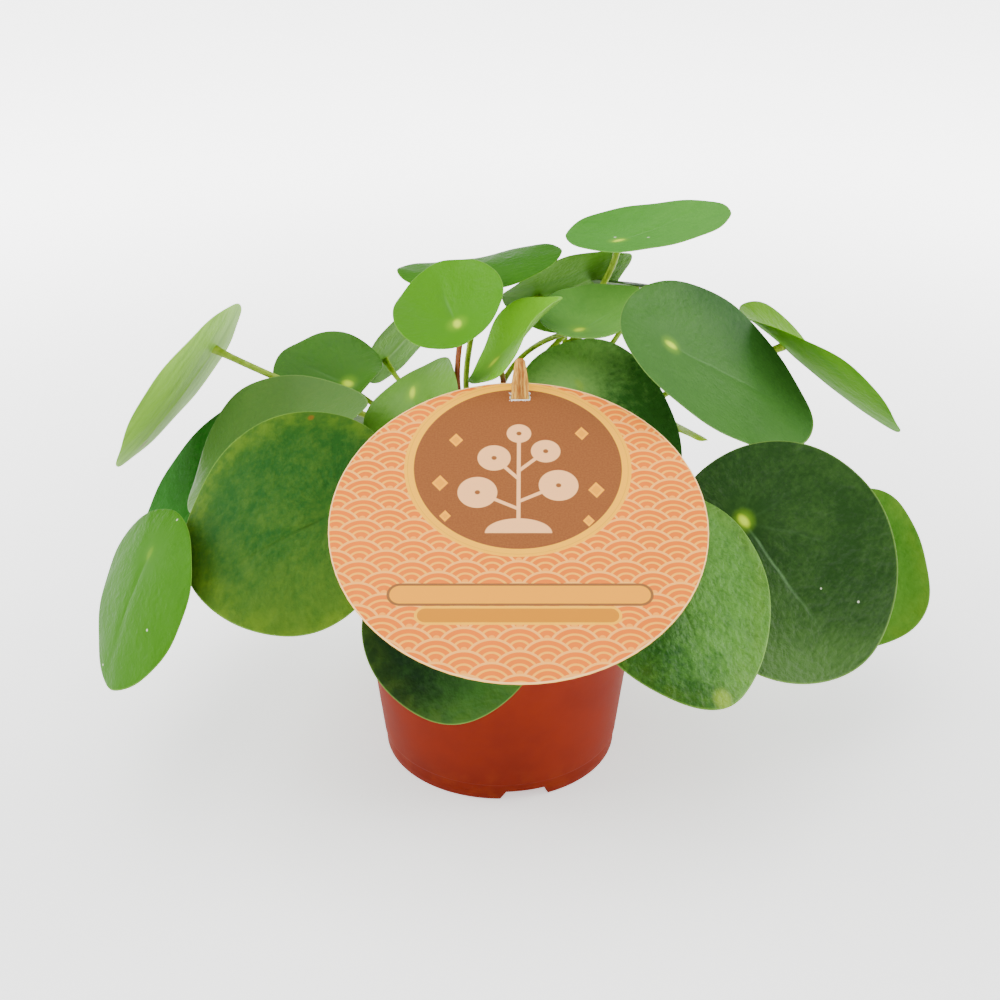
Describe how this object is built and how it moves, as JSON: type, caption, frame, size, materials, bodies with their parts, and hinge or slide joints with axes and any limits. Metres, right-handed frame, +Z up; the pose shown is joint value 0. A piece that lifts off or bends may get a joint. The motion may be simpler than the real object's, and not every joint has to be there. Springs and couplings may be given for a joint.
{
  "type": "potted houseplant",
  "caption": "Chinese money plant with round long-stalked leaves in a tapered terracotta-coloured plastic pot, with a round patterned label card on a flat wooden stick.",
  "frame": {"origin": "on the floor plane under the pot, below the middle of the plant's outline box; the pot's own axis stands at x -10.8 mm, y 6.2 mm", "axes": "+Z up, -Y towards the viewer and the label, +X to the right as seen from the label's side"},
  "size_m": [0.3185, 0.2403, 0.202],
  "materials": {
    "pot_plastic": "satin",
    "soil": "rough",
    "bark": "rough",
    "leaf_young": "satin",
    "leaf_mid": "satin",
    "leaf_dark": "glossy",
    "leaf_deep": "glossy",
    "card": "matte",
    "stick_wood": "matte"
  },
  "bodies": {
    "root": {"pot": "pot_plastic", "soil": "soil", "trunk": "bark", "leaf_01": "leaf_mid", "leaf_02": "leaf_deep", "leaf_03": "leaf_mid", "leaf_04": "leaf_dark", "leaf_05": "leaf_young", "leaf_06": "leaf_dark", "leaf_07": "leaf_dark", "leaf_08": "leaf_mid", "leaf_09": "leaf_mid", "leaf_10": "leaf_young", "leaf_11": "leaf_young", "leaf_12": "leaf_dark", "leaf_13": "leaf_mid", "leaf_14": "leaf_mid", "leaf_15": "leaf_mid", "leaf_16": "leaf_deep", "leaf_17": "leaf_mid", "leaf_18": "leaf_young", "leaf_19": "leaf_deep", "leaf_20": "leaf_young", "leaf_21": "leaf_mid", "leaf_22": "leaf_deep", "leaf_23": "leaf_dark", "leaf_24": "leaf_deep", "leaf_25": "leaf_dark", "leaf_26": "leaf_dark", "leaf_27": "leaf_dark", "leaf_28": "leaf_deep", "leaf_29": "leaf_dark", "leaf_30": "leaf_dark", "leaf_31": "leaf_dark", "label_card": "card", "label_stick": "stick_wood"}
  },
  "joints": []
}
